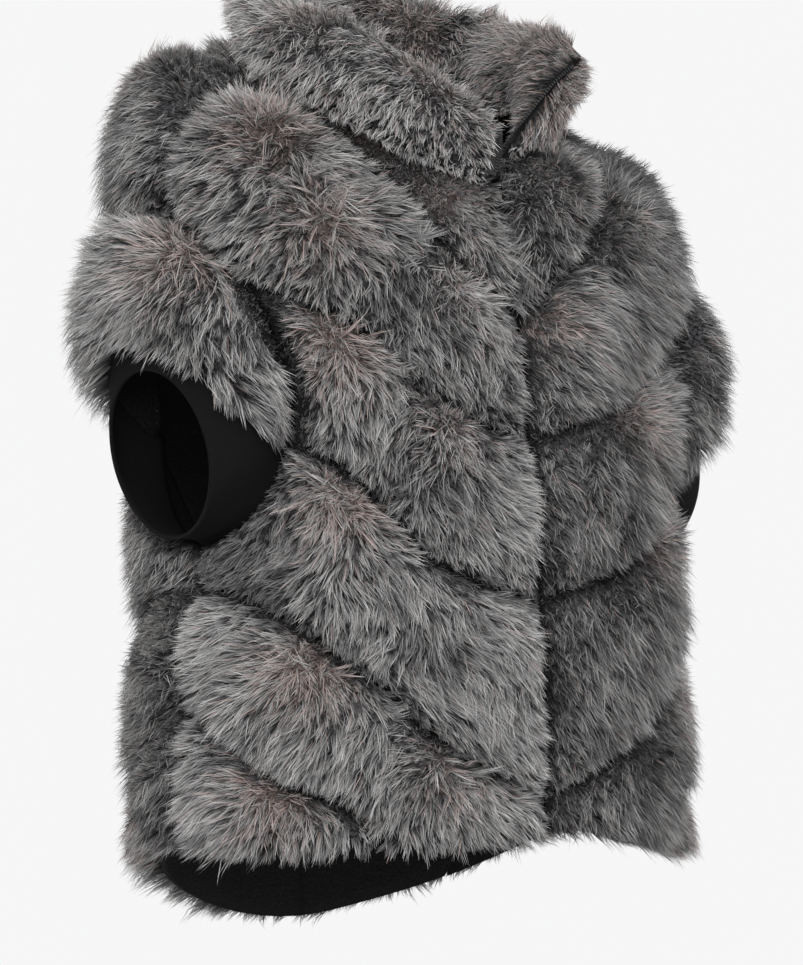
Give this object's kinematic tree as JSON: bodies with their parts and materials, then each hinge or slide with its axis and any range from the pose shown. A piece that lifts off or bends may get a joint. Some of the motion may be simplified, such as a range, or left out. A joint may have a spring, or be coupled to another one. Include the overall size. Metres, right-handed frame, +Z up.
{
  "type": "fur vest",
  "caption": "Long-pile grey faux-fur vest with chevron strips, zip front, open funnel collar, fur cap sleeves and black jersey underarm insets.",
  "frame": {"origin": "middle of the neck base, level with the shoulders that hold the vest up", "axes": "+Z up; the front, with its zip, faces -Y; the wearer's left is +X"},
  "size_m": [0.5652, 0.3845, 0.7446],
  "materials": {
    "fur": "long pile",
    "jersey": "matte",
    "zip_tape": "matte",
    "zip_metal": "satin"
  },
  "bodies": {
    "vest": {"strip_1_left": "fur", "front_strip_2_left": "fur", "front_strip_3_left": "fur", "front_strip_4_left": "fur", "front_strip_5_left": "fur", "front_strip_6_left": "fur", "back_strip_2_left": "fur", "back_strip_3_left": "fur", "back_strip_4_left": "fur", "back_strip_5_left": "fur", "back_strip_6_left": "fur", "cap_sleeve_left": "fur", "collar_outer_left": "fur", "collar_inner_left": "fur", "strip_1_right": "fur", "front_strip_2_right": "fur", "front_strip_3_right": "fur", "front_strip_4_right": "fur", "front_strip_5_right": "fur", "front_strip_6_right": "fur", "back_strip_2_right": "fur", "back_strip_3_right": "fur", "back_strip_4_right": "fur", "back_strip_5_right": "fur", "back_strip_6_right": "fur", "cap_sleeve_right": "fur", "collar_outer_right": "fur", "collar_inner_right": "fur", "underarm_inset_left": "jersey", "underarm_inset_right": "jersey", "zip_tape_left": "zip_tape", "zip_tape_right": "zip_tape", "zip_chain": "zip_metal", "zip_slider": "zip_metal", "zip_box": "zip_metal"},
    "pull_tab": {"zip_pull": "zip_metal"}
  },
  "joints": [
    {"name": "pull_tab_hinge", "type": "hinge", "parent": "vest", "child": "pull_tab", "pos_m": [0, -0.11564, -0.06068], "axis": [-1, 0, 0], "range_deg": [0, 120]}
  ]
}
